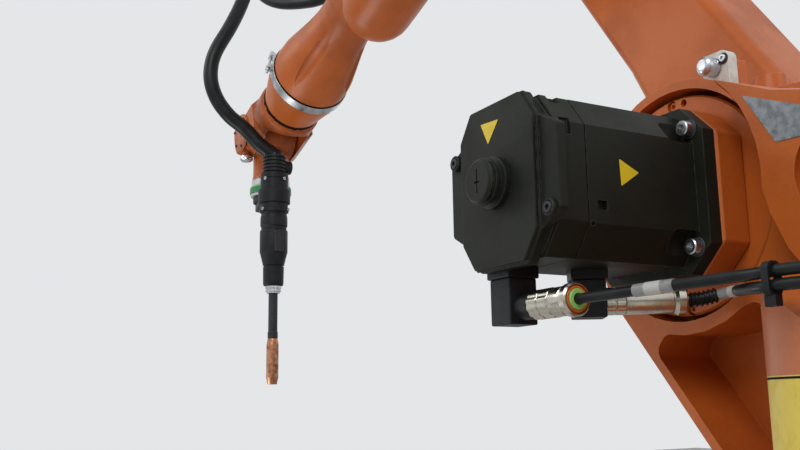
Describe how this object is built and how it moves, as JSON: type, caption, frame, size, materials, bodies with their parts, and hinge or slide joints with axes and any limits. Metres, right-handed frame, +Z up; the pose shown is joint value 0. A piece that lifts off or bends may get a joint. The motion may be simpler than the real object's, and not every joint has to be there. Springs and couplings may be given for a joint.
{
  "type": "industrial welding robot arm",
  "caption": "Floor-mounted six-axis jointed robot arm in orange paint with black servo motors, an in-line wrist, a straight welding torch and its hose.",
  "frame": {"origin": "on the first (turning) axis, at the underside of the foot where it is bolted to the floor", "axes": "+Z up along the first axis, +X forward in the plane of the arm, +Y to the robot's left"},
  "size_m": [1.7538, 0.4838, 1.4971],
  "materials": {
    "orange_paint": "semi-gloss powder paint on castings",
    "motor_black": "matte greenish black",
    "zinc_steel": "zinc plated",
    "bright_chrome": "bright",
    "black_plastic": "matte",
    "cable_rubber": "satin",
    "dark_metal": "satin",
    "green_plastic": "satin",
    "white_metal": "satin",
    "nozzle_copper": "satin"
  },
  "bodies": {
    "base": {"base_frame": "orange_paint", "base_connector_box": "orange_paint", "base_power_socket": "dark_metal", "base_signal_socket": "dark_metal"},
    "column": {"rotating_column": "orange_paint", "a1_motor": "motor_black", "a2_gear_disc": "orange_paint", "a2_motor_adapter": "orange_paint", "a2_motor_body": "motor_black", "a2_motor_cap": "motor_black", "a2_cap_plug": "black_plastic", "a2_power_connector": "black_plastic", "a2_signal_connector": "black_plastic", "a2_power_sleeve": "zinc_steel", "a2_signal_sleeve": "zinc_steel", "a2_power_cable": "cable_rubber", "a2_signal_cable": "cable_rubber", "cable_tie": "black_plastic", "cable_gland": "dark_metal", "mastering_bracket": "white_metal", "mastering_cap": "bright_chrome"},
    "link": {"link_arm": "orange_paint", "link_side_cover": "orange_paint"},
    "arm": {"arm_housing": "orange_paint", "a3_motor": "motor_black", "a4_motor": "motor_black", "a5_motor": "motor_black", "a6_motor": "motor_black", "forearm_tube": "orange_paint", "forearm_band": "zinc_steel", "band_clasp": "zinc_steel", "forearm_nose": "orange_paint", "hose_holder": "dark_metal"},
    "wrist": {"wrist_hand": "orange_paint", "hand_side_cover": "orange_paint", "wrist_cap": "bright_chrome", "torch_hose": "cable_rubber"},
    "tilt": {"tilt_housing": "orange_paint"},
    "tool": {"tool_flange": "zinc_steel", "insulator_ring": "green_plastic", "torch_bracket": "black_plastic", "torch_body": "black_plastic", "torch_tail": "cable_rubber", "torch_neck": "zinc_steel", "gas_nozzle": "nozzle_copper"}
  },
  "joints": [
    {"name": "a1_turn", "type": "hinge", "parent": "base", "child": "column", "pos_m": [0, 0, 0.2], "axis": [0, 0, 1], "range_deg": [-185, 185]},
    {"name": "a2_shoulder", "type": "hinge", "parent": "column", "child": "link", "pos_m": [0.26, 0, 0.675], "axis": [0, 1, 0], "range_deg": [-98.5, 91.5]},
    {"name": "a3_elbow", "type": "hinge", "parent": "link", "child": "arm", "pos_m": [0.63571, 0, 1.24178], "axis": [0, -1, 0], "range_deg": [-56, 204]},
    {"name": "a4_roll", "type": "hinge", "parent": "arm", "child": "wrist", "pos_m": [1.27533, 0, 1.00254], "axis": [0.9533, 0, -0.3019], "range_deg": [-350, 350]},
    {"name": "a5_tilt", "type": "hinge", "parent": "wrist", "child": "tilt", "pos_m": [1.27533, 0, 1.00254], "axis": [0, 1, 0], "range_deg": [-192.43, 7.57], "deforming": ["torch_hose"]},
    {"name": "a6_spin", "type": "hinge", "parent": "tilt", "child": "tool", "pos_m": [1.27533, 0, 0.9], "axis": [0, 0, -1], "range_deg": [-350, 350]}
  ]
}
